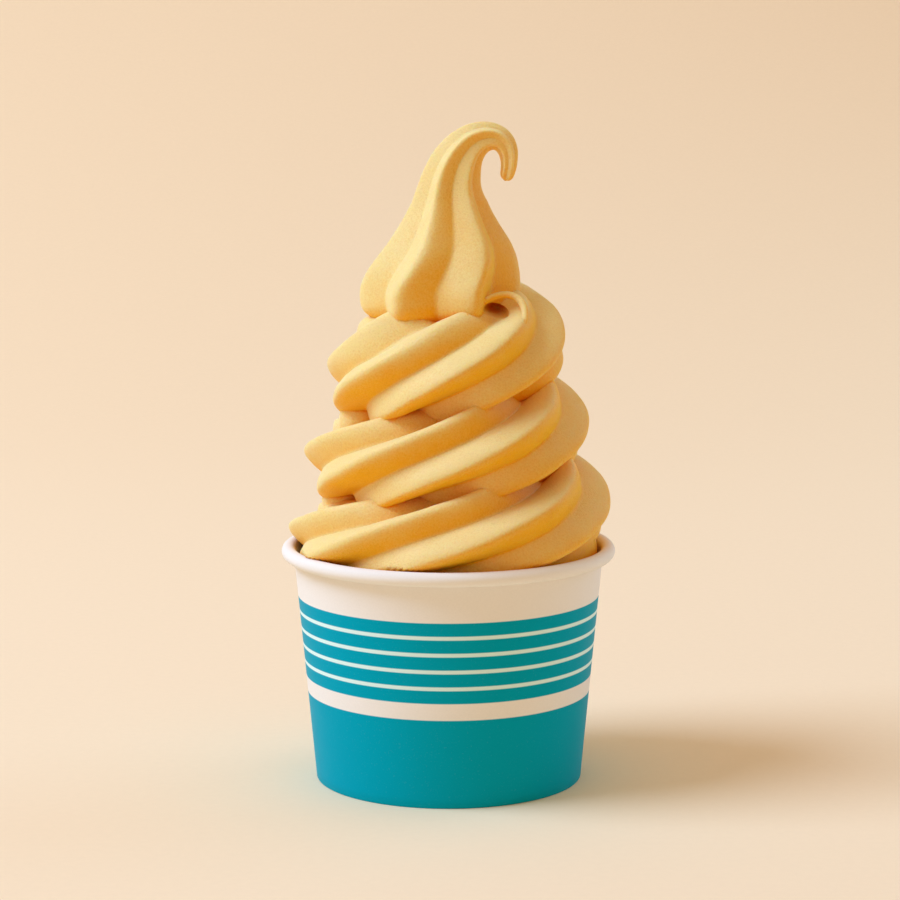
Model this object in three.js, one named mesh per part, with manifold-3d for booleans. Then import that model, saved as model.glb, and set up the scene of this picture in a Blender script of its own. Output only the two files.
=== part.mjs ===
// Soft serve piped as one ridged rope into a paper cup.
// Millimetres, +Z up, the cup standing on z = 0 with its axis on the Z axis, the front towards -Y.
import * as THREE from 'three';
import { mergeVertices } from 'three/addons/utils/BufferGeometryUtils.js';
import Module from 'manifold-3d';

// Paper cup
const rimDiameter = 95;
const cupHeight = 67.8;
const baseRadius = 38;
const wallTaper = 0.0926; // growth of the wall's radius for each millimetre of height
const paper = 0.5;
const beadRadius = 2; // rolled rim
const beadCurl = 0.68; // how far the roll comes back under itself, in half turns
const beadShoulder = 2.2; // height below the bead's middle where the wall starts to roll
const hemHeight = 6; // fold of the wall around the base
const hemSlot = 0.8;
const baseTop = 6.8;
const flangeFoot = 1;
const flangeGap = 0.15;
const clearance = 0.3; // between the food and the paper
const cupSides = 64;
const beadSteps = 8;

// Coiled rope: the turn count t is 0 at the front of the top coil and falls by 1 for each coil below
const ropeStart = -2.84;
const ropeEnd = 0.72;
const coilShift = [1.06, 0.5];
const coilRadius = 15;
const coilWiden = -6.24;
const coilCurve = 0.202;
const coilHeight = 120;
const coilPitch = 24.2;
const coilPitchGrow = 0.688;
const coilTilt = [1.45, 0.647]; // rise towards the right and towards the back
const coilLean = 0.229; // sideways lean of each section, to the left as it rises
const ropeReach = 19.3; // half width of the rope
const ropeThin = 0.372;
const ropeFlatten = 0.755; // half height of the rope as a share of its half width
const upperFullness = 0.851; // below 1 the outer side stands fuller than an ellipse
const lowerFullness = 0.815;
const innerShare = 0.9; // the inner side stops short of the swirl's axis
const ridges = 6;
const ridgeDepth = 0.256;
const crownDepth = 0.167; // how much deeper the grooves are on top of the rope and underneath it
const bellyDepth = 0.05;
const ridgeHollow = -0.008; // dip of the faces between crest and groove, below 0 a swelling
const ridgeSharpness = 0.95;
const ridgePhase = -0.003;
const ridgeTwist = 0.872; // turns of the ridges about the rope in one coil
const ridgeTwistGrow = 0.017;

// The rope's first stretch is squeezed by the rim and pushed up by it
const rootTurn = -2.3;
const rootStretch = 0.4;
const rootLift = 22;
const rootSqueeze = 6;

// The last coil has none above it to press it flat, and dies away inside the peak
const topSwell = 0.409;
const topSwellPower = 6;
const topSwellFrom = -1.01;
const topSwellTo = -0.35;
const settleFrom = -0.12; // it settles again as it passes the front
const settleTo = 0.12;
const settleShare = 1.1;
const fadeFrom = 0.35;
const fadeTo = 0.8;
const fadeShare = 0.7;

// Food inside the coils and below them
const coreReach = 6;
const coreTop = 12;
const fillHeight = 55;

// Drawn-up peak with its curled end
const peakShift = [0.5, 0.5];
const peakFoot = 129.8;
const peakWide = 138.5;
const peakNeck = 165;
const peakRadius = 22.7;
const footSquareness = 3;
const coneLength = 35.6;
const coneBulge = 2.04;
const peakRidgeDepth = 0.248;
const peakHollow = 0.018;
const peakPhase = 0.092; // angle of the groove at the front
const peakTurn = -0.15; // twist of the ridges at the peak's foot
const peakTurnLength = 6;
const peakLean = -2.84; // offset of the peak's foot, gone between the two heights below
const leanFrom = 138.9;
const leanTo = 155.1;
const hookRadius = 8.15; // thickness where the curl starts, and the length over which it thins
const hookThin = 18.1;
const hookRise = 187.8;
const hookOver = 22;
const hookReach = 15.4;
const hookEnd = 170.5;
const hookRound = 1.5;

// Lip of the last coil, curled over against the peak's foot
const lipBend = [
  [20.5, -10, 132],
  [20, -11, 139.5],
  [15.5, -13.5, 139],
  [9.5, -17, 136.5],
];
const lipThick = 4;
const lipThin = 2.4;

// Facets
const ropeAround = 36;
const stepsPerTurn = 24;
const turnPerSegment = 0.45;
const bodySteps = 17;
const lipAround = 12;
const lipSteps = 8;
const hookSteps = 22;

const tau = 2 * Math.PI;
const smoothstep = THREE.MathUtils.smoothstep;
const wallRadius = (z) => baseRadius + wallTaper * z;
const bead = [rimDiameter / 2 - beadRadius, cupHeight - beadRadius];

const wasm = await Module();
wasm.setup();

function toSolid(geometry) {
  geometry.deleteAttribute('normal');
  geometry.deleteAttribute('uv');
  const welded = mergeVertices(geometry, 1e-5);
  return new wasm.Manifold(new wasm.Mesh({
    numProp: 3,
    vertProperties: new Float32Array(welded.attributes.position.array),
    triVerts: new Uint32Array(welded.index.array),
  }));
}

function toGeometry(solid) {
  const mesh = solid.getMesh();
  const geometry = new THREE.BufferGeometry();
  geometry.setAttribute('position', new THREE.BufferAttribute(new Float32Array(mesh.vertProperties), 3));
  geometry.setIndex(new THREE.BufferAttribute(new Uint32Array(mesh.triVerts), 1));
  return geometry;
}

// A turned body about the Z axis, from [radius, height] points
function turned(points) {
  const outline = points.map(([r, z]) => new THREE.Vector2(r, z));
  const geometry = new THREE.LatheGeometry(outline, cupSides);
  geometry.rotateX(Math.PI / 2);
  return geometry;
}

// A closed skin over rings of points, capped with a fan at both ends
function skin(rings, firstCentre, lastCentre) {
  const count = rings[0].length;
  const points = [...rings.flat(), firstCentre, lastCentre];
  const first = rings.length * count;
  const last = first + 1;
  const top = first - count;
  const index = [];
  for (let i = 0; i < rings.length - 1; i += 1) {
    for (let j = 0; j < count; j += 1) {
      const a = i * count + j;
      const b = i * count + (j + 1) % count;
      index.push(a, b, b + count, a, b + count, a + count);
    }
  }
  for (let j = 0; j < count; j += 1) {
    const next = (j + 1) % count;
    index.push(first, next, j);
    index.push(last, top + j, top + next);
  }
  const geometry = new THREE.BufferGeometry();
  const flat = points.flatMap((point) => point.toArray());
  geometry.setAttribute('position', new THREE.Float32BufferAttribute(flat, 3));
  geometry.setIndex(index);
  return geometry;
}

// Star section: 1 on a ridge and 1 - depth in a groove, with eased crests and faces that may dip
function star(angle, depth, hollow) {
  const wave = Math.asin(ridgeSharpness * Math.cos(ridges * angle)) / Math.asin(ridgeSharpness);
  const fall = (1 - wave) / 2;
  return 1 - depth * fall - hollow * Math.sin(Math.PI * fall);
}

const coilAt = (t) => coilRadius + coilWiden * t + coilCurve * t * t;
const ridgeAt = (t) => tau * (ridgePhase + ridgeTwist * t + ridgeTwistGrow * t * t);

function heightAt(t) {
  const sunk = Math.max(0, rootTurn - t);
  return coilHeight + coilPitch * t + coilPitchGrow * t * t + rootLift * sunk * sunk;
}

function reachAt(t) {
  const squeeze = rootSqueeze * smoothstep(-t, -rootTurn, rootStretch - rootTurn);
  const fade = fadeShare * smoothstep(t, fadeFrom, fadeTo);
  return (ropeReach + ropeThin * t - squeeze) * (1 - fade);
}

// A point of the rope, so far out from and up from the middle of its section
function onCoil(t, out, up) {
  const turn = tau * (t - 0.25);
  const radius = coilAt(t) + out;
  const x = coilShift[0] + radius * Math.cos(turn) - coilLean * up;
  const y = coilShift[1] + radius * Math.sin(turn);
  const tilt = coilTilt[0] * Math.cos(turn) + coilTilt[1] * Math.sin(turn);
  return new THREE.Vector3(x, y, heightAt(t) + tilt + up);
}

function ropeRing(t) {
  const reach = reachAt(t);
  const inside = Math.min(reach, innerShare * coilAt(t));
  const loose = smoothstep(t, topSwellFrom, topSwellTo);
  const settle = 1 - settleShare * smoothstep(t, settleFrom, settleTo);
  const ring = [];
  for (let j = 0; j < ropeAround; j += 1) {
    const along = -tau * j / ropeAround;
    const across = Math.cos(ridgeAt(t) + along);
    const rise = Math.sin(ridgeAt(t) + along);
    const deeper = (rise > 0 ? crownDepth * (1 - loose) : bellyDepth) * rise * rise;
    const size = star(along, ridgeDepth + deeper, ridgeHollow);
    const fullness = rise > 0 ? upperFullness : lowerFullness;
    const out = across > 0 ? reach * across ** fullness : inside * across;
    const swell = 1 + topSwell * loose * settle * Math.max(rise, 0) ** topSwellPower;
    ring.push(onCoil(t, out * size, ropeFlatten * reach * rise * size * swell));
  }
  return ring;
}

function ropeSegment(from, to) {
  const steps = Math.ceil((to - from) * stepsPerTurn);
  const rings = [];
  for (let i = 0; i <= steps; i += 1) {
    rings.push(ropeRing(from + (to - from) * i / steps));
  }
  return toSolid(skin(rings, onCoil(from, 0, 0), onCoil(to, 0, 0)));
}

// Radius of the peak at a length past its widest level, rounded off at the end of the curl
function peakRadiusAt(past, left) {
  if (past < 0) {
    const drop = -past / (peakWide - peakFoot);
    return peakRadius * (1 - drop ** footSquareness) ** (1 / footSquareness);
  }
  const share = Math.min(past / coneLength, 1);
  const cone = (peakRadius - hookRadius) * Math.cos(share * Math.PI / 2) ** coneBulge;
  const curl = hookRadius * Math.exp(-Math.max(past - coneLength, 0) / hookThin);
  const round = left < hookRound ? Math.sqrt(1 - (1 - left / hookRound) ** 2) : 1;
  return (cone + curl) * round;
}

// One ring of the peak about its centre, square to the direction it grows in
function peakRing(centre, ahead, past, left) {
  const side = new THREE.Vector3(ahead.z, 0, -ahead.x);
  const radius = peakRadiusAt(past, left);
  const turn = peakPhase + peakTurn * Math.exp(-Math.max(past, 0) / peakTurnLength);
  const halfRidge = Math.PI / ridges;
  const ring = [];
  for (let j = 0; j < ropeAround; j += 1) {
    const along = tau * j / ropeAround;
    const size = radius * star(along - halfRidge, peakRidgeDepth, peakHollow);
    const point = centre.clone().addScaledVector(side, size * Math.sin(along + turn));
    point.y -= size * Math.cos(along + turn);
    ring.push(point);
  }
  return ring;
}

// Peak: level rings up to the neck, then one bend over to the right
function peak() {
  const at = (x, z) => new THREE.Vector3(peakShift[0] + x, peakShift[1], z);
  const leanAt = (z) => peakLean * (1 - smoothstep(z, leanFrom, leanTo));
  const hook = new THREE.CubicBezierCurve3(
    at(0, peakNeck),
    at(0, hookRise),
    at(hookOver, hookRise),
    at(hookReach, hookEnd),
  );
  const hookLength = hook.getLength();
  const up = new THREE.Vector3(0, 0, 1);
  const rings = [];
  for (let i = 1; i < bodySteps; i += 1) {
    const z = peakFoot + (peakNeck - peakFoot) * i / bodySteps;
    rings.push(peakRing(at(leanAt(z), z), up, z - peakWide, hookLength));
  }
  for (let i = 0; i < hookSteps; i += 1) {
    const share = i / hookSteps;
    const past = peakNeck - peakWide + share * hookLength;
    const left = (1 - share) * hookLength;
    rings.push(peakRing(hook.getPointAt(share), hook.getTangentAt(share), past, left));
  }
  return toSolid(skin(rings, at(peakLean, peakFoot), hook.getPointAt(1)));
}

// Lip: a small tapering roll along one bend
function lip() {
  const bend = new THREE.CubicBezierCurve3(...lipBend.map((point) => new THREE.Vector3(...point)));
  const { normals, binormals } = bend.computeFrenetFrames(lipSteps);
  const rings = [];
  for (let i = 0; i <= lipSteps; i += 1) {
    const share = i / lipSteps;
    const radius = THREE.MathUtils.lerp(lipThick, lipThin, share);
    const ring = [];
    for (let j = 0; j < lipAround; j += 1) {
      const along = tau * j / lipAround;
      const point = bend.getPointAt(share);
      point.addScaledVector(normals[i], radius * Math.cos(along));
      point.addScaledVector(binormals[i], radius * Math.sin(along));
      ring.push(point);
    }
    rings.push(ring);
  }
  return toSolid(skin(rings, bend.getPointAt(0), bend.getPointAt(1)));
}

// Food that fills the cup below the coils, and the cone of it in their middle
function filling() {
  const wall = (z) => wallRadius(z) - paper - clearance;
  return toSolid(turned([
    [0, baseTop],
    [wall(baseTop), baseTop],
    [wall(fillHeight), fillHeight],
    ...[rootTurn, -1, 0].map((t) => [coilAt(t) + coreReach, heightAt(t)]),
    [0, coilHeight + coreTop],
  ]));
}

// Arc points about the middle of the rolled rim, angles in half turns
function beadArc(radius, from, to) {
  const points = [];
  for (let i = 0; i <= beadSteps; i += 1) {
    const angle = Math.PI * (from + (to - from) * i / beadSteps);
    points.push([bead[0] + radius * Math.cos(angle), bead[1] + radius * Math.sin(angle)]);
  }
  return points;
}

// Everything the paper takes up, with the clearance on its inner side
function paperSpace() {
  const below = -1;
  const beyond = rimDiameter;
  const wall = (z) => wallRadius(z) - paper - clearance;
  const shoulder = bead[1] - beadShoulder;
  return toSolid(turned([
    [wall(below), below],
    [beyond, below],
    [beyond, bead[1]],
    ...beadArc(beadRadius + clearance, 0, 1),
    [wall(shoulder), shoulder],
    [wall(below), below],
  ]));
}

function softServe() {
  const segments = Math.ceil((ropeEnd - ropeStart) / turnPerSegment);
  const turnAt = (k) => ropeStart + (ropeEnd - ropeStart) * k / segments;
  let whole = filling().add(peak()).add(lip());
  for (let i = 0; i < segments; i += 1) {
    whole = whole.add(ropeSegment(turnAt(i), turnAt(i + 1)));
  }
  // pockets shut in between the coils are filled: only the outer skin is kept
  const shells = whole.subtract(paperSpace()).decompose();
  shells.sort((a, b) => b.volume() - a.volume());
  return toGeometry(shells[0]);
}

// Side wall: one sheet of paper, folded in around the base below and rolled outward at the rim
function cupWall() {
  const shoulder = bead[1] - beadShoulder;
  const inner = (z) => wallRadius(z) - paper;
  return turned([
    [wallRadius(0), 0],
    [wallRadius(shoulder), shoulder],
    ...beadArc(beadRadius - paper, 1, -beadCurl),
    ...beadArc(beadRadius, -beadCurl, 1),
    [inner(paper), paper],
    [inner(paper) - hemSlot, paper],
    [inner(hemHeight) - hemSlot, hemHeight],
    [inner(hemHeight) - hemSlot - paper, hemHeight],
    [inner(0) - hemSlot - paper, 0],
    [wallRadius(0), 0],
  ]);
}

// Base: a flat disc set up inside the wall, its turned-down edge held in the fold
function cupBase() {
  const outer = (z) => wallRadius(z) - paper - flangeGap;
  const underside = baseTop - paper;
  return turned([
    [0, underside],
    [outer(underside) - paper, underside],
    [outer(flangeFoot) - paper, flangeFoot],
    [outer(flangeFoot), flangeFoot],
    [outer(baseTop), baseTop],
    [0, baseTop],
  ]);
}

function piece(name, geometry, color, roughness) {
  const material = new THREE.MeshStandardMaterial({ color, roughness, metalness: 0 });
  const mesh = new THREE.Mesh(geometry, material);
  mesh.name = name;
  return mesh;
}

const group = new THREE.Group();
group.add(piece('cup_wall', cupWall(), 0xf4efe6, 0.45));
group.add(piece('cup_base', cupBase(), 0xf4efe6, 0.6));
group.add(piece('soft_serve', softServe(), 0xf6c765, 0.5));

export default group;
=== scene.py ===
import bmesh
import bpy
import math
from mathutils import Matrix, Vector


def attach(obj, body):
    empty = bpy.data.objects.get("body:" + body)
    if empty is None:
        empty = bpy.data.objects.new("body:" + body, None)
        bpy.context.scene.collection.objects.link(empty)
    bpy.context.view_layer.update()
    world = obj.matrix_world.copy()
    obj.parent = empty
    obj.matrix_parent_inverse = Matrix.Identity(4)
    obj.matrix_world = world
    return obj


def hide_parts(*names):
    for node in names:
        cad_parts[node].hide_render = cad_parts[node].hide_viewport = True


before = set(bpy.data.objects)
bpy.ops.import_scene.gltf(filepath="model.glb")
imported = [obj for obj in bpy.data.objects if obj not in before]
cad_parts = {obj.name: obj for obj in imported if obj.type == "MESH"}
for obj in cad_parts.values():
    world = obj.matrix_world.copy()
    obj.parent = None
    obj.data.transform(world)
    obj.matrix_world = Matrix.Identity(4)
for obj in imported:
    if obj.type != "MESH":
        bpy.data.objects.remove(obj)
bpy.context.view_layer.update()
mm = 0.001
calc = "ShaderNodeMath"
noiseLow, noiseHigh = 0.3, 0.7  # most of a noise texture's values lie between these


def toLinear(hexColour):
    # sRGB hex to the linear colour that shaders use
    values = [int(hexColour[i:i + 2], 16) / 255 for i in (1, 3, 5)]
    return [v / 12.92 if v <= 0.04045 else ((v + 0.055) / 1.055) ** 2.4 for v in values] + [1.0]


def add(tree, kind, links=(), out=0, **settings):
    # one node: links are values, sockets or lists of sockets, by place or by name
    node = tree.nodes.new(kind)
    for name, value in settings.items():
        setattr(node, name, value)
    for key, value in (links.items() if isinstance(links, dict) else enumerate(links)):
        several = value if isinstance(value, list) and isinstance(value[0], bpy.types.NodeSocket) else [value]
        for one in several:
            if isinstance(one, bpy.types.NodeSocket):
                tree.links.new(one, node.inputs[key])
            else:
                node.inputs[key].default_value = one
    return node.outputs[out] if len(node.outputs) else node


def newTree(name, sizes):
    # a geometry tree with a named input for each size, and its inputs by name
    tree = bpy.data.node_groups.new(name, "GeometryNodeTree")
    for key, value in sizes.items():
        tree.interface.new_socket(key, in_out="INPUT", socket_type="NodeSocketFloat").default_value = value
    tree.interface.new_socket("Mesh", in_out="OUTPUT", socket_type="NodeSocketGeometry")
    entry = tree.nodes.new("NodeGroupInput")
    return tree, {socket.name: socket for socket in entry.outputs if socket.name}


def ramp(tree, value, start, end, low, high, smooth=False):
    # a value carried over from one range to another, with soft ends where asked
    return add(tree, "ShaderNodeMapRange", {0: value, 1: start, 2: end, 3: low, 4: high},
               interpolation_type="SMOOTHSTEP" if smooth else "LINEAR")


def mark(tree, body, name, value):
    # a named value kept on the skin, for the material to read
    return add(tree, "GeometryNodeStoreNamedAttribute", {"Geometry": body, "Name": name, "Value": value},
               data_type="FLOAT", domain="POINT")


def mixColour(tree, share, first, second, blend="MIX"):
    return add(tree, "ShaderNodeMix", {0: share, 6: first, 7: second}, out=2, data_type="RGBA", blend_type=blend)


# the rope that climbs round the cup's axis, in millimetres and turns
# turn 0 is the front of the top coil, and each coil below is one turn less
rope = {
    "shiftX": 1.059, "shiftY": 0.5,
    "coilRadius": 15.01, "coilWiden": -6.239, "coilCurve": 0.2016,
    "coilHeight": 120, "coilPitch": 24.21, "coilPitchGrow": 0.6877,
    "tiltX": 1.445, "tiltY": 0.6467, "lean": 0.2291,
    "reach": 19.3, "thin": 0.3716, "flatten": 0.7546,
    "upperFullness": 0.8509, "lowerFullness": 0.8145, "innerShare": 0.9,
    "ridgeDepth": 0.2562, "crestSharpness": 0.87, "grooveSharpness": 0.9718, "hollow": -0.00797,
    "crownDepth": 0.1672, "bellyDepth": 0.15,
    "ridgePhase": -0.00253, "ridgeTwist": 0.8719, "ridgeTwistGrow": 0.01704,
    "sag": 0.018, "sagGrow": -0.017,
    "rootTurn": -2.1, "rootStretch": 0.4, "rootDrop": 12, "rootSqueeze": 6.0,
    "topSwell": 0.409, "crownPower": 6.0, "swellFrom": -1.015, "swellTo": -0.35,
    "settleFrom": -0.12, "settleTo": 0.12, "settleShare": 1.1,
    "fadeFrom": 0.35, "fadeTo": 0.8, "fadeShare": 0.7,
    "wallRadius": 37.0, "wallTaper": 0.0926, "rimFrom": 67.8, "rimTo": 69.4, "rimRoom": 14.0, "wallEase": 1.0,
    "waver": 0.9, "waverSize": 17.0, "ripple": 0.16, "rippleSize": 4.0,
}
ropeRun = {"start": -2.6, "end": 0.72, "stretches": 9, "around": 120, "stepsPerTurn": 170, "plug": 0.1}

# the drawn-up peak and the hook it ends in, in millimetres
peak = {
    "foot": 129.8, "wide": 138.5, "neck": 165.0, "radius": 22.66, "squareness": 3,
    "coneLength": 35.6, "coneBulge": 2.045, "ridgeDepth": 0.2482,
    "crestSharpness": 0.93, "grooveSharpness": 0.99, "hollow": 0.0175,
    "phase": 0.09232, "footTwist": -0.15, "twistLength": 8,
    "leanX": -2.842, "leanFrom": 138.9, "leanTo": 155.1,
    "hookRadius": 8.4, "hookThin": 19.6, "hookEase": 9.0, "hookRise": 187.8, "hookOver": 22.03,
    "hookReach": 15.45, "hookEnd": 170.5, "hookRound": 2.0,
    "shiftX": 0.5, "shiftY": 0.5,
    "waver": 0.5, "waverSize": 17.0, "ripple": 0.16, "rippleSize": 4.0,
}
peakRun = {"around": 120, "steps": 170, "bendSteps": 96, "weld": 0.001}
ridgeCount = 6


def starSize(tree, angle, size, depth):
    # 1 on a ridge and 1 - depth in a groove, its crest, its groove and its faces shaped apart
    turns = add(tree, calc, [angle, float(ridgeCount)], operation="MULTIPLY")
    wave = add(tree, calc, [turns], operation="COSINE")
    raised = add(tree, calc, [wave, 0.5, 0.5], operation="MULTIPLY_ADD")
    sharp = add(tree, "ShaderNodeMix", {0: raised, 2: size["grooveSharpness"], 3: size["crestSharpness"]})
    flank = add(tree, calc, [add(tree, calc, [wave, sharp], operation="MULTIPLY")], operation="ARCSINE")
    height = add(tree, calc, [flank, add(tree, calc, [sharp], operation="ARCSINE")], operation="DIVIDE")
    fall = add(tree, calc, [height, -0.5, 0.5], operation="MULTIPLY_ADD")
    sag = add(tree, calc, [add(tree, calc, [fall, math.pi], operation="MULTIPLY")], operation="SINE")
    sunk = add(tree, calc, [sag, size["hollow"], add(tree, calc, [fall, depth], operation="MULTIPLY")],
               operation="MULTIPLY_ADD")
    return add(tree, calc, [1.0, sunk], operation="SUBTRACT")


def tubeSkin(tree, around, steps):
    # a closed tube to bend: its angle, its share of the length, and 1 on the skin or 0 at a cap's middle
    tube = add(tree, "GeometryNodeMeshCylinder", {
        "Vertices": around, "Side Segments": steps, "Radius": 1.0, "Depth": 1.0,
    }, fill_type="TRIANGLE_FAN")
    axes = add(tree, "ShaderNodeSeparateXYZ", [add(tree, "GeometryNodeInputPosition")]).node.outputs
    angle = add(tree, calc, [axes["Y"], axes["X"]], operation="ARCTAN2")
    share = add(tree, calc, [axes["Z"], 0.5], operation="ADD")
    flat = add(tree, "ShaderNodeCombineXYZ", [axes["X"], axes["Y"]])
    skin = add(tree, "ShaderNodeVectorMath", [flat], out="Value", operation="LENGTH")
    return tube, angle, share, skin


def uneven(tree, size, place):
    # the slow waver and the small ripple of a soft food that settles as it is piped
    moved = place
    for much, wide, seed in (("waver", "waverSize", 3.0), ("ripple", "rippleSize", 11.0)):
        scale = add(tree, calc, [1.0, size[wide]], operation="DIVIDE")
        noise = add(tree, "ShaderNodeTexNoise", {
            "Vector": place, "W": seed, "Scale": scale, "Detail": 1.0,
        }, out="Color", noise_dimensions="4D")
        centred = add(tree, "ShaderNodeVectorMath", [noise, (0.5, 0.5, 0.5)], operation="SUBTRACT")
        push = add(tree, "ShaderNodeVectorMath", {0: centred, "Scale": size[much]}, operation="SCALE")
        moved = add(tree, "ShaderNodeVectorMath", [moved, push], operation="ADD")
    return moved


def ropeStretchTree():
    # one stretch of the rope, short enough not to run into itself
    tree, size = newTree("ropeStretch", {"from": -1.0, "to": 0.0, **rope})
    steps = math.ceil((ropeRun["end"] - ropeRun["start"]) / ropeRun["stretches"] * ropeRun["stepsPerTurn"])
    tube, angle, share, skin = tubeSkin(tree, ropeRun["around"], steps + 2)
    # the first and the last ring are plugs, drawn in, that reach into the neighbouring stretches
    ring = add(tree, calc, [share, float(steps + 2), -1.0], operation="MULTIPLY_ADD")
    along = add(tree, calc, [ring, float(steps)], operation="DIVIDE")
    t = add(tree, "ShaderNodeMix", {0: along, 2: size["from"], 3: size["to"]}, clamp_factor=False)
    fromMiddle = add(tree, calc, [add(tree, calc, [along, 0.5], operation="SUBTRACT")], operation="ABSOLUTE")
    plug = add(tree, calc, [fromMiddle, 0.5 + 0.5 / steps], operation="GREATER_THAN")
    drawnIn = add(tree, calc, [plug, -ropeRun["plug"], 1.0], operation="MULTIPLY_ADD")
    skin = add(tree, calc, [skin, drawnIn], operation="MULTIPLY")
    turn = add(tree, calc, [add(tree, calc, [t, 0.25], operation="SUBTRACT"), math.tau], operation="MULTIPLY")

    # radius of the coil, height of the rope and turn of its ridges
    bend = add(tree, calc, [t, size["coilCurve"], size["coilWiden"]], operation="MULTIPLY_ADD")
    coil = add(tree, calc, [t, bend, size["coilRadius"]], operation="MULTIPLY_ADD")
    climb = add(tree, calc, [t, size["coilPitchGrow"], size["coilPitch"]], operation="MULTIPLY_ADD")
    level = add(tree, calc, [t, climb, size["coilHeight"]], operation="MULTIPLY_ADD")
    sunk = add(tree, calc, [add(tree, calc, [size["rootTurn"], t], operation="SUBTRACT"), 0.0], operation="MAXIMUM")
    drop = add(tree, calc, [add(tree, calc, [sunk, 2.0], operation="POWER"), size["rootDrop"]], operation="MULTIPLY")
    height = add(tree, calc, [level, drop], operation="SUBTRACT")
    spin = add(tree, calc, [t, size["ridgeTwistGrow"], size["ridgeTwist"]], operation="MULTIPLY_ADD")
    ridge = add(tree, calc, [t, spin, size["ridgePhase"]], operation="MULTIPLY_ADD")
    cosTurn = add(tree, calc, [turn], operation="COSINE")
    sinTurn = add(tree, calc, [turn], operation="SINE")
    left = add(tree, calc, [add(tree, calc, [cosTurn, 0.0], operation="MINIMUM"), 2.0], operation="POWER")
    sag = add(tree, calc, [t, size["sagGrow"], size["sag"]], operation="MULTIPLY_ADD")
    ridge = add(tree, calc, [ridge, add(tree, calc, [left, sag], operation="MULTIPLY")], operation="SUBTRACT")
    ridge = add(tree, calc, [ridge, math.tau], operation="MULTIPLY")

    # half width: squeezed by the rim at the start, dying away inside the peak at the end
    rootEnd = add(tree, calc, [size["rootTurn"], size["rootStretch"]], operation="SUBTRACT")
    squeeze = ramp(tree, t, size["rootTurn"], rootEnd, 0.0, size["rootSqueeze"], smooth=True)
    kept = add(tree, calc, [1.0, size["fadeShare"]], operation="SUBTRACT")
    fade = ramp(tree, t, size["fadeFrom"], size["fadeTo"], 1.0, kept, smooth=True)
    wide = add(tree, calc, [t, size["thin"], size["reach"]], operation="MULTIPLY_ADD")
    wide = add(tree, calc, [wide, squeeze], operation="SUBTRACT")
    reach = add(tree, calc, [wide, fade], operation="MULTIPLY")
    inside = add(tree, calc, [coil, size["innerShare"]], operation="MULTIPLY")
    inside = add(tree, calc, [reach, inside], operation="MINIMUM")

    # the ridged section: fuller than an ellipse outside, short of the axis inside
    facing = add(tree, calc, [ridge, angle], operation="SUBTRACT")
    across = add(tree, calc, [facing], operation="COSINE")
    rise = add(tree, calc, [facing], operation="SINE")
    top = add(tree, calc, [add(tree, calc, [rise, 0.0], operation="MAXIMUM"), 2.0], operation="POWER")
    under = add(tree, calc, [add(tree, calc, [rise, 0.0], operation="MINIMUM"), 2.0], operation="POWER")
    free = ramp(tree, t, size["swellFrom"], size["swellTo"], 0.0, 1.0, smooth=True)
    pressed = add(tree, calc, [1.0, free], operation="SUBTRACT")
    deeper = add(tree, calc, [pressed, size["crownDepth"]], operation="MULTIPLY")
    depth = add(tree, calc, [top, deeper, size["ridgeDepth"]], operation="MULTIPLY_ADD")
    depth = add(tree, calc, [under, size["bellyDepth"], depth], operation="MULTIPLY_ADD")
    star = starSize(tree, angle, size, depth)
    star = add(tree, calc, [star, skin], operation="MULTIPLY")
    above = add(tree, calc, [rise, 0.0], operation="GREATER_THAN")
    fullness = add(tree, "ShaderNodeMix", {0: above, 2: size["lowerFullness"], 3: size["upperFullness"]})
    ahead = add(tree, calc, [add(tree, calc, [across, 0.0], operation="MAXIMUM"), fullness], operation="POWER")
    behind = add(tree, calc, [add(tree, calc, [across, 0.0], operation="MINIMUM"), inside], operation="MULTIPLY")
    out = add(tree, calc, [ahead, reach, behind], operation="MULTIPLY_ADD")
    out = add(tree, calc, [out, star], operation="MULTIPLY")
    crown = add(tree, calc, [add(tree, calc, [rise, 0.0], operation="MAXIMUM"), size["crownPower"]],
                operation="POWER")
    settled = add(tree, calc, [1.0, size["settleShare"]], operation="SUBTRACT")
    settle = ramp(tree, t, size["settleFrom"], size["settleTo"], 1.0, settled, smooth=True)
    loose = add(tree, calc, [free, settle], operation="MULTIPLY")
    loose = add(tree, calc, [loose, size["topSwell"]], operation="MULTIPLY")
    swell = add(tree, calc, [crown, loose, 1.0], operation="MULTIPLY_ADD")
    up = add(tree, calc, [rise, star], operation="MULTIPLY")
    up = add(tree, calc, [up, reach], operation="MULTIPLY")
    up = add(tree, calc, [up, size["flatten"]], operation="MULTIPLY")
    up = add(tree, calc, [up, swell], operation="MULTIPLY")

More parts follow.
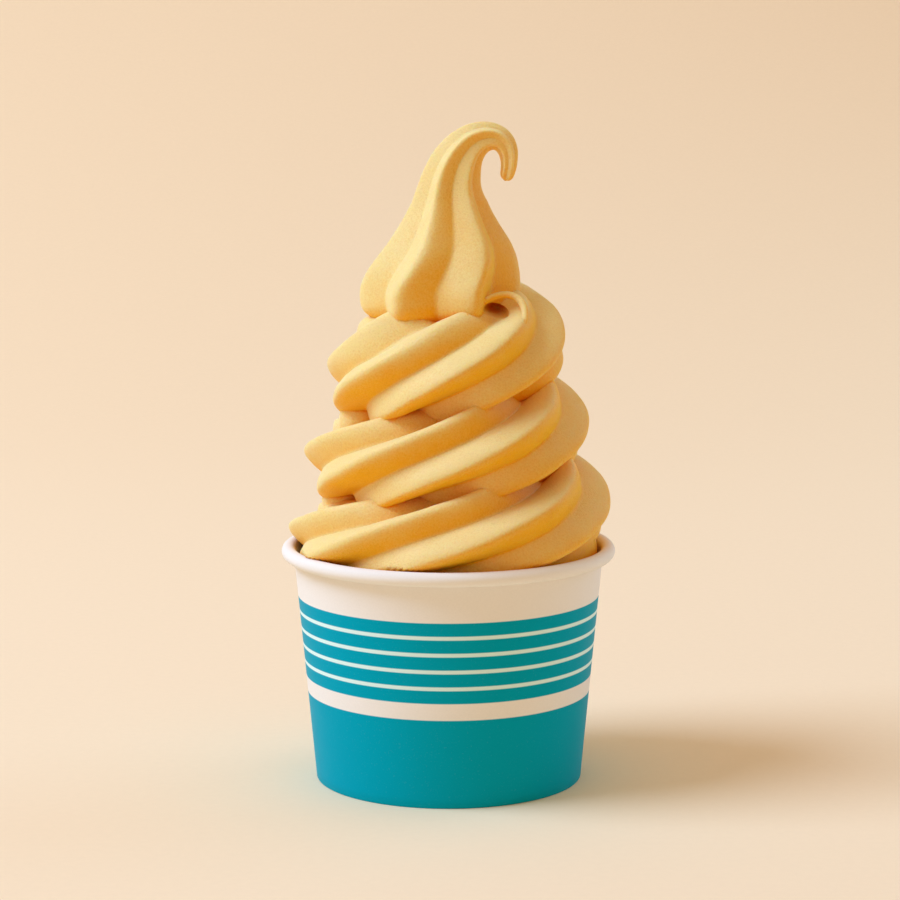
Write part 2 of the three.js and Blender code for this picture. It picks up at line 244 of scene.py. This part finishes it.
    # place on the coil, pressed in by the cup's wall below the rim
    z = add(tree, calc, [height, up], operation="ADD")
    z = add(tree, calc, [cosTurn, size["tiltX"], z], operation="MULTIPLY_ADD")
    z = add(tree, calc, [sinTurn, size["tiltY"], z], operation="MULTIPLY_ADD")
    radius = add(tree, calc, [coil, out], operation="ADD")
    tip = add(tree, calc, [up, size["lean"]], operation="MULTIPLY")
    x = add(tree, calc, [radius, cosTurn, size["shiftX"]], operation="MULTIPLY_ADD")
    x = add(tree, calc, [x, tip], operation="SUBTRACT")
    y = add(tree, calc, [radius, sinTurn, size["shiftY"]], operation="MULTIPLY_ADD")
    away = add(tree, "ShaderNodeVectorMath", [add(tree, "ShaderNodeCombineXYZ", [x, y])], out="Value",
               operation="LENGTH")
    wall = add(tree, calc, [z, size["wallTaper"], size["wallRadius"]], operation="MULTIPLY_ADD")
    over = ramp(tree, z, size["rimFrom"], size["rimTo"], 0.0, size["rimRoom"])
    room = add(tree, calc, [wall, over], operation="ADD")
    held = add(tree, calc, [away, room, size["wallEase"]], operation="SMOOTH_MIN")
    press = add(tree, calc, [held, away], operation="DIVIDE")
    x = add(tree, calc, [x, press], operation="MULTIPLY")
    y = add(tree, calc, [y, press], operation="MULTIPLY")
    place = uneven(tree, size, add(tree, "ShaderNodeCombineXYZ", [x, y, z]))
    marked = mark(tree, tube, "crest", star)
    bent = add(tree, "GeometryNodeSetPosition", {"Geometry": marked, "Position": place})
    add(tree, "NodeGroupOutput", [bent])
    return tree


def peakTree():
    # level rings up to the neck, then rings square to the hook's bend
    tree, size = newTree("drawnPeak", peak)
    tube, angle, share, skin = tubeSkin(tree, peakRun["around"], peakRun["steps"])
    bend = add(tree, "GeometryNodeCurvePrimitiveBezierSegment", {
        "Resolution": peakRun["bendSteps"],
        "Start": add(tree, "ShaderNodeCombineXYZ", [0.0, 0.0, size["neck"]]),
        "Start Handle": add(tree, "ShaderNodeCombineXYZ", [0.0, 0.0, size["hookRise"]]),
        "End Handle": add(tree, "ShaderNodeCombineXYZ", [size["hookOver"], 0.0, size["hookRise"]]),
        "End": add(tree, "ShaderNodeCombineXYZ", [size["hookReach"], 0.0, size["hookEnd"]]),
    })
    hookLength = add(tree, "GeometryNodeCurveLength", [bend])
    body = add(tree, calc, [size["neck"], size["foot"]], operation="SUBTRACT")
    whole = add(tree, calc, [body, hookLength], operation="ADD")
    run = add(tree, calc, [share, whole], operation="MULTIPLY")
    left = add(tree, calc, [whole, run], operation="SUBTRACT")
    wideRun = add(tree, calc, [size["wide"], size["foot"]], operation="SUBTRACT")
    past = add(tree, calc, [run, wideRun], operation="SUBTRACT")
    onward = add(tree, calc, [past, 0.0], operation="MAXIMUM")

    # middle line
    along = add(tree, calc, [add(tree, calc, [run, body], operation="SUBTRACT"), 0.0], operation="MAXIMUM")
    hook = add(tree, "GeometryNodeSampleCurve", {"Curves": bend, "Length": along}, out="Position",
               mode="LENGTH", use_all_curves=True)
    short = add(tree, calc, [add(tree, calc, [run, body], operation="SUBTRACT"), 0.0], operation="MINIMUM")
    level = add(tree, calc, [short, size["neck"]], operation="ADD")
    lean = ramp(tree, level, size["leanFrom"], size["leanTo"], size["leanX"], 0.0, smooth=True)
    shiftX = add(tree, calc, [lean, size["shiftX"]], operation="ADD")
    shift = add(tree, "ShaderNodeCombineXYZ", [shiftX, size["shiftY"], short])
    middle = add(tree, "ShaderNodeVectorMath", [hook, shift], operation="ADD")

    # radius: rounded foot, bulging cone, thinning hook with a round end
    drop = add(tree, calc, [add(tree, calc, [past, 0.0], operation="MINIMUM"), wideRun], operation="DIVIDE")
    drop = add(tree, calc, [drop], operation="ABSOLUTE")
    drop = add(tree, calc, [drop, size["squareness"]], operation="POWER")
    foot = add(tree, calc, [1.0, drop], operation="SUBTRACT", use_clamp=True)
    root = add(tree, calc, [1.0, size["squareness"]], operation="DIVIDE")
    foot = add(tree, calc, [foot, root], operation="POWER")
    part = add(tree, calc, [onward, size["coneLength"]], operation="DIVIDE", use_clamp=True)
    cone = add(tree, calc, [add(tree, calc, [part, math.pi / 2], operation="MULTIPLY")], operation="COSINE")
    cone = add(tree, calc, [cone, 0.0], operation="MAXIMUM")
    cone = add(tree, calc, [cone, size["coneBulge"]], operation="POWER")
    thick = add(tree, calc, [size["radius"], size["hookRadius"]], operation="SUBTRACT")
    beyond = add(tree, calc, [size["coneLength"], onward], operation="SUBTRACT")
    beyond = add(tree, calc, [beyond, 0.0, size["hookEase"]], operation="SMOOTH_MIN")
    curl = add(tree, calc, [add(tree, calc, [beyond, size["hookThin"]], operation="DIVIDE")], operation="EXPONENT")
    curl = add(tree, calc, [curl, size["hookRadius"]], operation="MULTIPLY")
    radius = add(tree, calc, [cone, thick, curl], operation="MULTIPLY_ADD")
    radius = add(tree, calc, [radius, foot], operation="MULTIPLY")
    ending = add(tree, calc, [left, size["hookRound"]], operation="DIVIDE", use_clamp=True)
    ending = add(tree, calc, [1.0, ending], operation="SUBTRACT")
    ending = add(tree, calc, [ending, 2.0], operation="POWER")
    ending = add(tree, calc, [1.0, ending], operation="SUBTRACT", use_clamp=True)
    ending = add(tree, calc, [ending], operation="SQRT")
    radius = add(tree, calc, [radius, ending], operation="MULTIPLY")

    # ridged ring about the middle line, a groove to the front
    offRidge = add(tree, calc, [angle, math.pi / ridgeCount], operation="SUBTRACT")
    star = starSize(tree, offRidge, size, size["ridgeDepth"])
    star = add(tree, calc, [star, skin], operation="MULTIPLY")
    reach = add(tree, calc, [radius, star], operation="MULTIPLY")
    twist = add(tree, calc, [onward, size["twistLength"]], operation="DIVIDE")
    twist = add(tree, calc, [twist, 2.0], operation="POWER")
    twist = add(tree, calc, [add(tree, calc, [twist, -1.0], operation="MULTIPLY")], operation="EXPONENT")
    twist = add(tree, calc, [twist, size["footTwist"], size["phase"]], operation="MULTIPLY_ADD")
    facing = add(tree, calc, [angle, twist], operation="ADD")
    side = add(tree, calc, [reach, add(tree, calc, [facing], operation="SINE")], operation="MULTIPLY")
    near = add(tree, calc, [reach, add(tree, calc, [facing], operation="COSINE")], operation="MULTIPLY")
    ahead = add(tree, "ShaderNodeSeparateXYZ", [hook.node.outputs["Tangent"]]).node.outputs
    x = add(tree, calc, [side, ahead["Z"]], operation="MULTIPLY")
    y = add(tree, calc, [near, -1.0], operation="MULTIPLY")
    z = add(tree, calc, [side, add(tree, calc, [ahead["X"], -1.0], operation="MULTIPLY")], operation="MULTIPLY")
    ring = add(tree, "ShaderNodeCombineXYZ", [x, y, z])
    place = add(tree, "ShaderNodeVectorMath", [middle, ring], operation="ADD")
    place = uneven(tree, size, place)
    marked = mark(tree, tube, "crest", star)
    bent = add(tree, "GeometryNodeSetPosition", {"Geometry": marked, "Position": place})
    closed = add(tree, "GeometryNodeMergeByDistance", {"Geometry": bent, "Distance": peakRun["weld"]})
    add(tree, "NodeGroupOutput", [closed])
    return tree


# painted light: faces turned this way, up and to the left towards the key lamp, are painted paler
litSide = Vector((-0.7, -0.2, 0.69)).normalized()

# the food under and inside the coils, in millimetres: radius, height, and shift to the right and to the back
filling = {
    "levels": [
        (37.7, 6.9, 0.0, 0.0), (41.5, 58.0, 1.0, 1.6), (41.5, 66.0, 1.0, 1.6), (40.5, 72.5, 1.0, 1.6),
        (26.0, 77.0, 1.0, 3.0), (18.0, 96.8, 1.0, 3.0), (12.0, 119.4, 1.0, 3.0), (2.0, 131.0, 1.0, 3.0),
    ],
    "depthShare": 0.965, "around": 96, "crest": 0.9,
}

# food pressed into the gaps under the coils on the left: middle and radius, in millimetres
packing = {"balls": [((-23.5, 1.0, 103.0), 7.5), ((-28.0, 1.0, 80.0), 8.0)], "around": 48, "rings": 24}

# hollow where the last coil tucks in under the peak: middle, half sizes and slope in millimetres and degrees
hollow = {"place": (13.3, -16.0, 135.5), "size": (3.7, 13.0, 2.0), "slope": 12.0}

creaseAngle = 50  # degrees, from where a fold in the skin stays sharp

# lip of the last coil, curled over against the peak's foot, in millimetres
lip = {
    "start": (16.5, -22.0, 126.5), "rise": (25.0, -20.5, 133.5), "over": (21.5, -6.5, 144.0),
    "end": (9.5, -15.5, 138.0), "thick": 3.9, "thin": 2.3, "around": 32, "steps": 40, "crest": 0.9,
}


def lipTree():
    # a small tapering roll along one bend
    tree, size = newTree("curledLip", {"thick": lip["thick"], "thin": lip["thin"]})
    bend = add(tree, "GeometryNodeCurvePrimitiveBezierSegment", {
        "Resolution": lip["steps"], "Start": lip["start"], "Start Handle": lip["rise"],
        "End Handle": lip["over"], "End": lip["end"],
    })
    share = add(tree, "GeometryNodeSplineParameter", out="Factor")
    taper = ramp(tree, share, 0.0, 1.0, size["thick"], size["thin"])
    bend = add(tree, "GeometryNodeSetCurveRadius", {"Curve": bend, "Radius": taper})
    ring = add(tree, "GeometryNodeCurvePrimitiveCircle", {"Resolution": lip["around"], "Radius": 1.0})
    roll = add(tree, "GeometryNodeCurveToMesh", {"Curve": bend, "Profile Curve": ring, "Fill Caps": True})
    add(tree, "NodeGroupOutput", [mark(tree, roll, "crest", lip["crest"])])
    return tree


swirlSizes = {**rope, **{"peak " + key: value for key, value in peak.items()}}


def swirlTree(material):
    # rope stretches, peak, lip and filling joined into one skin
    tree, size = newTree("pipedSwirl", swirlSizes)
    stretch = ropeStretchTree()
    ropeSizes = {key: size[key] for key in rope}
    span = (ropeRun["end"] - ropeRun["start"]) / ropeRun["stretches"]
    joints = [ropeRun["start"] + span * k for k in range(ropeRun["stretches"] + 1)]
    bodies = []
    for start, end in zip(joints, joints[1:]):
        bodies.append(add(tree, "GeometryNodeGroup", {**ropeSizes, "from": start, "to": end}, node_tree=stretch))
    peakSizes = {key: size["peak " + key] for key in peak}
    bodies.append(add(tree, "GeometryNodeGroup", peakSizes, node_tree=peakTree()))
    bodies.append(add(tree, "GeometryNodeGroup", node_tree=lipTree()))
    levels = filling["levels"]
    for (lowRadius, low, right, back), (topRadius, top, *_) in zip(levels, levels[1:]):
        cone = add(tree, "GeometryNodeMeshCone", {
            "Vertices": filling["around"], "Radius Top": topRadius, "Radius Bottom": lowRadius, "Depth": top - low,
        })
        bodies.append(add(tree, "GeometryNodeTransform", {
            "Geometry": mark(tree, cone, "crest", filling["crest"]), "Translation": (right, back, low),
            "Scale": (1.0, filling["depthShare"], 1.0),
        }))
    ballMesh = {"Segments": packing["around"], "Rings": packing["rings"]}
    for middle, radius in packing["balls"]:
        ball = add(tree, "GeometryNodeMeshUVSphere", {**ballMesh, "Radius": radius})
        bodies.append(add(tree, "GeometryNodeTransform", {
            "Geometry": mark(tree, ball, "crest", filling["crest"]), "Translation": middle,
        }))
    whole = add(tree, "GeometryNodeMeshBoolean", {"Mesh 2": bodies}, operation="UNION", solver="MANIFOLD")
    scoop = add(tree, "GeometryNodeMeshUVSphere", {**ballMesh, "Radius": 1.0})
    scoop = add(tree, "GeometryNodeTransform", {
        "Geometry": scoop, "Translation": hollow["place"], "Scale": hollow["size"],
        "Rotation": (0.0, math.radians(hollow["slope"]), 0.0),
    })
    whole = add(tree, "GeometryNodeMeshBoolean", {"Mesh 1": whole, "Mesh 2": [scoop]},
                operation="DIFFERENCE", solver="MANIFOLD")

    # pockets shut in between the coils are dropped: only the outer skin stays
    island = add(tree, "GeometryNodeInputMeshIsland", out="Island Index")
    count = add(tree, "GeometryNodeAccumulateField", {"Value": 1.0, "Group ID": island}, out="Total",
                domain="POINT")
    most = add(tree, "GeometryNodeAttributeStatistic", {"Geometry": whole, "Attribute": count}, out="Max",
               domain="POINT")
    inner = add(tree, calc, [count, most], operation="LESS_THAN")
    outer = add(tree, "GeometryNodeDeleteGeometry", {"Geometry": whole, "Selection": inner}, domain="POINT")

    smooth = add(tree, "GeometryNodeSetShadeSmooth", {"Geometry": outer, "Shade Smooth": True}, domain="FACE")
    fold = add(tree, "GeometryNodeInputMeshEdgeAngle", out="Unsigned Angle")
    soft = add(tree, calc, [fold, math.radians(creaseAngle)], operation="LESS_THAN")
    creased = add(tree, "GeometryNodeSetShadeSmooth", {"Geometry": smooth, "Shade Smooth": soft}, domain="EDGE")
    # painted light: how far each point faces up and to the left, kept on the skin for the material to paint those
    # faces paler
    turned = add(tree, "ShaderNodeVectorMath", [add(tree, "GeometryNodeInputNormal"), litSide], out="Value",
                 operation="DOT_PRODUCT")
    litFacingMarked = mark(tree, creased, "frost", turned)
    metres = add(tree, "GeometryNodeTransform", {"Geometry": litFacingMarked, "Scale": (mm, mm, mm)})
    real = add(tree, "GeometryNodeRealizeInstances", [metres])
    finished = add(tree, "GeometryNodeSetMaterial", {"Geometry": real, "Material": material})
    add(tree, "NodeGroupOutput", [finished])
    return tree


def makeSwirl(material):
    tree = swirlTree(material)
    mesh = bpy.data.meshes.new("swirlSeed")
    piece = bpy.data.objects.new("piped_swirl", mesh)
    bpy.context.collection.objects.link(piece)
    modifier = piece.modifiers.new("swirl", "NODES")
    modifier.node_group = tree
    for item in tree.interface.items_tree:
        if item.in_out == "INPUT":
            modifier[item.identifier] = swirlSizes[item.name]
    done = piece.evaluated_get(bpy.context.evaluated_depsgraph_get())
    plain = bpy.data.meshes.new_from_object(done)
    piece.modifiers.clear()
    piece.data = plain
    print("swirl:", len(plain.vertices), "points", len(plain.polygons), "faces")
    return piece


# the cup, in millimetres
cup = {
    "rimDiameter": 95.0, "height": 67.8, "footRadius": 38.0, "taper": 0.0926, "paper": 0.5,
    "beadRadius": 2.0, "beadCurl": 0.68, "shoulder": 2.2, "hemHeight": 6.0, "hemSlot": 0.8,
    "around": 256, "beadSteps": 20, "wallSteps": 24, "footRound": 0.25, "footCut": 0.3, "crease": 40,
}


def cupProfile():
    # [radius, height] points of one closed sheet: foot, wall, rolled rim, inside and folded hem
    paper = cup["paper"]
    bead = (cup["rimDiameter"] / 2 - cup["beadRadius"], cup["height"] - cup["beadRadius"])
    shoulder = bead[1] - cup["shoulder"]

    def wall(z):
        return cup["footRadius"] + cup["taper"] * z

    def roll(radius, start, end):
        angles = [math.pi * (start + (end - start) * i / cup["beadSteps"]) for i in range(cup["beadSteps"] + 1)]
        return [(bead[0] + radius * math.cos(a), bead[1] + radius * math.sin(a)) for a in angles]

    rounded = cup["footRound"]
    cut = cup["footCut"] * rounded
    points = [(wall(0) - rounded, 0.0), (wall(0) - cut, cut)]
    for i in range(cup["wallSteps"] + 1):
        z = rounded + (shoulder - rounded) * i / cup["wallSteps"]
        points.append((wall(z), z))
    printed = len(points) - 1
    points += roll(cup["beadRadius"] - paper, 1.0, -cup["beadCurl"])
    points += roll(cup["beadRadius"], -cup["beadCurl"], 1.0)
    for i in range(1, cup["wallSteps"] + 1):
        z = bead[1] + (paper - bead[1]) * i / cup["wallSteps"]
        points.append((wall(z) - paper, z))
    slot, hem = cup["hemSlot"], cup["hemHeight"]
    points.append((wall(paper) - paper - slot, paper))
    points.append((wall(hem) - paper - slot, hem))
    points.append((wall(hem) - 2 * paper - slot, hem))
    points.append((wall(0) - 2 * paper - slot, 0.0))
    return points, printed


def makeCup(printedBoard, plainBoard):
    points, printed = cupProfile()
    around = cup["around"]
    bm = bmesh.new()
    rings = []
    for k in range(around):
        a = math.tau * k / around
        rings.append([bm.verts.new((r * mm * math.cos(a), r * mm * math.sin(a), z * mm)) for r, z in points])
    for k in range(around):
        here, there = rings[k], rings[(k + 1) % around]
        for i in range(len(points)):
            j = (i + 1) % len(points)
            face = bm.faces.new((here[i], there[i], there[j], here[j]))
            face.smooth = True
            face.material_index = 0 if i < printed else 1
    bmesh.ops.recalc_face_normals(bm, faces=bm.faces)
    for edge in bm.edges:
        edge.smooth = edge.calc_face_angle(0) < math.radians(cup["crease"])
    mesh = bpy.data.meshes.new("paperCup")
    bm.to_mesh(mesh)
    bm.free()
    mesh.materials.append(printedBoard)
    mesh.materials.append(plainBoard)
    piece = bpy.data.objects.new("paper_cup", mesh)
    bpy.context.collection.objects.link(piece)
    print("cup:", len(mesh.polygons), "faces")
    return piece


def newMaterial(name):
    material = bpy.data.materials.new(name)
    material.use_nodes = True
    tree = material.node_tree
    tree.nodes.clear()
    return material, tree


# mango soft serve, drawn from a star nozzle: satin, cloudy and a little see-through, with fine ice grain
# sizes in millimetres; the ice grain is drawn coarser than it is, or it would be lost
mango = {
    # fruit and cream are the food's own colours; fold is the colour of the painted shade in the folds
    "fruit": "#FFB81B", "cream": "#FFDD96", "fold": "#F3CC8E",
    "grain": 0.5, "grainHeight": 0.25, "grainBump": 0.8, "cloud": 14.0,
    # painted light: the facing over which faces are painted paler; painted shade: the share of it kept down in a
    # groove
    "litFrom": -0.25, "litTo": 0.65, "crownFrom": 0.6, "crownTo": 0.85,
    "groove": 0.74, "face": 0.92, "grooveLitShare": 0.75, "crestHighlightFrom": 0.93, "crestHighlight": (0.08, 0.25),
    "mottle": (-0.14, 0.04), "ice": (-0.12, 0.06), "sparkle": (0.945, 1.055),
    "shadeFrom": 0.65, "grooveShade": 0.98,
    "hookPaleFrom": 160.0, "hookPaleTo": 182.0, "hookPale": 0.4,
    "foldDepth": 4.0, "foldShut": 0.12, "foldOpen": 0.6, "foldRays": 8,
    "roughness": 0.45, "ior": 1.38, "specular": 0.35, "glowDepth": 0.8, "glowColour": (0.8, 0.6, 0.35),
}


def mangoMaterial():
    material, tree = newMaterial("mangoSoftServe")
    place = add(tree, "ShaderNodeTexCoord", out="Object")
    cloud = add(tree, "ShaderNodeTexNoise", {"Vector": place, "Scale": 1 / (mango["cloud"] * mm), "Detail": 2.0})
    grain = add(tree, "ShaderNodeTexNoise", {"Vector": place, "Scale": 1 / (mango["grain"] * mm), "Detail": 2.0})
    crest = add(tree, "ShaderNodeAttribute", out="Fac", attribute_name="crest")
    frost = add(tree, "ShaderNodeAttribute", out="Fac", attribute_name="frost")

    # painted light and shade: faces turned up and to the left are painted paler, less so towards the groove, except
    # on faces turned well upward, as on the crown of a coil
    litPale = ramp(tree, frost, mango["litFrom"], mango["litTo"], 0.0, 1.0, smooth=True)
    upward = ramp(tree, frost, mango["crownFrom"], mango["crownTo"], 0.0, 1.0)
    dimmerInGroove = ramp(tree, crest, mango["groove"], mango["face"], mango["grooveLitShare"], 1.0)
    kept = add(tree, "ShaderNodeMix", {0: upward, 2: dimmerInGroove, 3: 1.0})
    mixed = add(tree, calc, [litPale, kept], operation="MULTIPLY")

    # a painted highlight along the crests, paler towards the top of the hook, cloudy patches and ice
    z = add(tree, "ShaderNodeSeparateXYZ", [place], out="Z")
    touches = [
        ramp(tree, crest, mango["crestHighlightFrom"], 1.0, *mango["crestHighlight"]),
        # paler towards the top of the hook
        ramp(tree, z, mango["hookPaleFrom"] * mm, mango["hookPaleTo"] * mm, 0.0, mango["hookPale"]),
        ramp(tree, cloud, noiseLow, noiseHigh, *mango["mottle"]),
        ramp(tree, grain, noiseLow, noiseHigh, *mango["ice"]),
    ]
    for touch in touches:
        mixed = add(tree, calc, [mixed, touch], operation="ADD", use_clamp=touch is touches[-1])
    colour = mixColour(tree, mixed, toLinear(mango["fruit"]), toLinear(mango["cream"]))
    # painted shade: a touch darker down in the grooves, times the ice grain's random tone
    shade = ramp(tree, crest, mango["shadeFrom"], mango["face"], mango["grooveShade"], 1.0)
    sparkle = ramp(tree, grain, noiseLow, noiseHigh, *mango["sparkle"])
    shade = add(tree, calc, [shade, sparkle], operation="MULTIPLY")
    colour = mixColour(tree, 1.0, colour, shade, "MULTIPLY")

    # painted shade: deeper, darker colour down in the folds and where coils meet, found by ambient occlusion
    openness = add(tree, "ShaderNodeAmbientOcclusion", {"Distance": mango["foldDepth"] * mm}, out="AO",
                   samples=mango["foldRays"])
    paintedFoldShade = ramp(tree, openness, mango["foldShut"], mango["foldOpen"], 1.0, 0.0)
    colour = mixColour(tree, paintedFoldShade, colour, toLinear(mango["fold"]), "MULTIPLY")
    bump = add(tree, "ShaderNodeBump", {
        "Strength": mango["grainBump"], "Distance": mango["grainHeight"] * mm, "Height": grain,
    })
    shader = add(tree, "ShaderNodeBsdfPrincipled", {
        "Base Color": colour, "Roughness": mango["roughness"], "IOR": mango["ior"], "Normal": bump,
        "Specular IOR Level": mango["specular"], "Subsurface Weight": 1.0,
        "Subsurface Scale": mango["glowDepth"] * mm, "Subsurface Radius": mango["glowColour"],
    })
    add(tree, "ShaderNodeOutputMaterial", [shader])
    return material


# coated paperboard, printed in flat ink: a soft sheen, with specks of board showing through the colour
# sizes in millimetres; the fibres are drawn coarser than they are
board = {
    "white": "#F8F4EC", "line": "#E2FFFA", "teal": "#00A5BE",
    "fibre": 0.5, "fibreHeight": 0.05, "fibreBump": 0.08, "fibreShade": 0.97,
    "speckFrom": 0.6, "speckTo": 0.8, "speckInk": 0.97,
    "roughness": 0.42, "ior": 1.5, "specular": 0.02,
}
bands = {"top": 53.24, "ink": 3.74, "line": 1.06, "count": 5, "wideLine": 4.77, "edge": 0.12, "foot": -1.0}


def printedColour(tree, place, fibre, white):
    # bands of ink from the top one down, then the wide line and the solid foot
    z = add(tree, "ShaderNodeSeparateXYZ", [place], out="Z")
    height = add(tree, calc, [z, 1 / mm], operation="MULTIPLY")
    top, edge, period = bands["top"], bands["edge"], bands["ink"] + bands["line"]
    linesEnd = top - bands["count"] * period + bands["line"]
    spans = [(top - k * period, top - k * period - bands["ink"]) for k in range(bands["count"])]
    spans.append((linesEnd - bands["wideLine"], bands["foot"]))

    # the narrow lines between the bands take a breath of the ink's colour
    above = add(tree, calc, [height, linesEnd], operation="GREATER_THAN")
    below = add(tree, calc, [height, top], operation="LESS_THAN")
    between = add(tree, calc, [above, below], operation="MULTIPLY")
    white = mixColour(tree, between, white, toLinear(board["line"]))
    ink = 0.0
    for high, low in spans:
        under = ramp(tree, height, high - edge, high + edge, 1.0, 0.0)
        over = ramp(tree, height, low - edge, low + edge, 0.0, 1.0)
        ink = add(tree, calc, [under, over, ink], operation="MULTIPLY_ADD")
    specks = ramp(tree, fibre, board["speckFrom"], board["speckTo"], 1.0, board["speckInk"])
    ink = add(tree, calc, [ink, specks], operation="MULTIPLY", use_clamp=True)
    return mixColour(tree, ink, white, toLinear(board["teal"]))


def boardMaterial(name, printed):
    material, tree = newMaterial(name)
    place = add(tree, "ShaderNodeTexCoord", out="Object")
    fibre = add(tree, "ShaderNodeTexNoise", {"Vector": place, "Scale": 1 / (board["fibre"] * mm), "Detail": 3.0})
    shade = ramp(tree, fibre, noiseLow, noiseHigh, board["fibreShade"], 1.0)
    colour = mixColour(tree, 1.0, toLinear(board["white"]), shade, "MULTIPLY")
    if printed:
        colour = printedColour(tree, place, fibre, colour)
    bump = add(tree, "ShaderNodeBump", {
        "Strength": board["fibreBump"], "Distance": board["fibreHeight"] * mm, "Height": fibre,
    })
    shader = add(tree, "ShaderNodeBsdfPrincipled", {
        "Base Color": colour, "Roughness": board["roughness"], "IOR": board["ior"],
        "Specular IOR Level": board["specular"], "Normal": bump,
    })
    add(tree, "ShaderNodeOutputMaterial", [shader])
    return material


# studio: a swept sheet of pale paper, a soft key from the left and a warm fill all round
studio = {
    "paper": "#FDE6C2", "tooth": 2.5, "toothShade": 0.985, "roughness": 0.85,
    "front": -2.0, "back": 0.6, "sweep": 1.6, "sweepSteps": 24, "top": 2.4, "halfWidth": 3.0,
    "sky": "#FFDAAC", "skyStrength": 0.55,
}
lamps = {
    "key": {"place": (-1.57, -0.33, 1.87), "aim": (0, 0, 0.09), "size": 1.4, "power": 59.2, "colour": "#BCD9FF"},
    "wall": {"place": (-0.9, 0.4, 1.2), "aim": (-0.3, 2.2, 0.9), "size": 0.8, "power": 1.3, "colour": "#FFFFE8"},
    "fill": {"place": (1.0, 0.5, 0.5), "aim": (0, 0, 0.09), "size": 1.0, "power": 4.6, "colour": "#89CBFF"},
}


def makeStudio():
    # matt paper with a faint tooth, swept up behind
    material, tree = newMaterial("studioPaper")
    place = add(tree, "ShaderNodeTexCoord", out="Object")
    tooth = add(tree, "ShaderNodeTexNoise", {"Vector": place, "Scale": 1 / (studio["tooth"] * mm), "Detail": 2.0})
    shade = ramp(tree, tooth, noiseLow, noiseHigh, studio["toothShade"], 1.0)
    colour = mixColour(tree, 1.0, toLinear(studio["paper"]), shade, "MULTIPLY")
    shader = add(tree, "ShaderNodeBsdfPrincipled", {"Base Color": colour, "Roughness": studio["roughness"]})
    add(tree, "ShaderNodeOutputMaterial", [shader])
    line = [(studio["front"], 0.0)]
    back, sweep, steps = studio["back"], studio["sweep"], studio["sweepSteps"]
    for i in range(steps + 1):
        a = math.pi / 2 * i / steps
        line.append((back + sweep * math.sin(a), sweep * (1 - math.cos(a))))
    line.append((back + sweep, studio["top"]))
    wide = studio["halfWidth"]
    points = [(x, y, z) for y, z in line for x in (-wide, wide)]
    faces = [(2 * i, 2 * i + 1, 2 * i + 3, 2 * i + 2) for i in range(len(line) - 1)]
    mesh = bpy.data.meshes.new("studioSweep")
    mesh.from_pydata(points, [], faces)
    mesh.shade_smooth()
    mesh.materials.append(material)
    floor = bpy.data.objects.new("studio_sweep", mesh)
    bpy.context.collection.objects.link(floor)
    print("studio: paper sweep")


def makeLight():
    for name, lamp in lamps.items():
        light = bpy.data.lights.new(name + "Light", "AREA")
        light.shape = "DISK"
        light.size = lamp["size"]
        light.energy = lamp["power"]
        light.color = toLinear(lamp["colour"])[:3]
        holder = bpy.data.objects.new(name + "Light", light)
        holder.location = lamp["place"]
        away = holder.location - Vector(lamp["aim"])
        holder.rotation_euler = away.to_track_quat("Z", "Y").to_euler()
        bpy.context.collection.objects.link(holder)
    world = bpy.data.worlds.new("studioAir")
    bpy.context.scene.world = world
    world.use_nodes = True
    world.node_tree.nodes.clear()
    air = add(world.node_tree, "ShaderNodeBackground", [toLinear(studio["sky"]), studio["skyStrength"]])
    add(world.node_tree, "ShaderNodeOutputWorld", [air])
    print("light:", len(lamps), "lamps")


# the photograph's camera, in metres and degrees, its lens and sensor in millimetres
shot = {"place": (0.0, -0.8, 0.2169), "down": 8.71, "yaw": 0.046, "roll": 0.075, "lens": 114.04, "sensor": 36.0}


def makeCamera():
    data = bpy.data.cameras.new("shot")
    data.lens = shot["lens"]
    data.sensor_width = shot["sensor"]
    camera = bpy.data.objects.new("shot", data)
    camera.location = shot["place"]
    camera.rotation_euler = [math.radians(a) for a in (90 - shot["down"], shot["roll"], -shot["yaw"])]
    bpy.context.collection.objects.link(camera)
    bpy.context.scene.camera = camera
    bpy.context.scene.view_settings.view_transform = "Standard"
    print("camera:", shot["lens"], "mm lens")


makeCamera()
makeStudio()
makeLight()

swirl = makeSwirl(mangoMaterial())
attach(swirl, "root")
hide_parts("soft_serve")

printedBoard = boardMaterial("printedPaperboard", True)
plainBoard = boardMaterial("plainPaperboard", False)
paperCup = makeCup(printedBoard, plainBoard)
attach(paperCup, "root")
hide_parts("cup_wall")

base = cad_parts["cup_base"]
base.data.materials.clear()
base.data.materials.append(plainBoard)
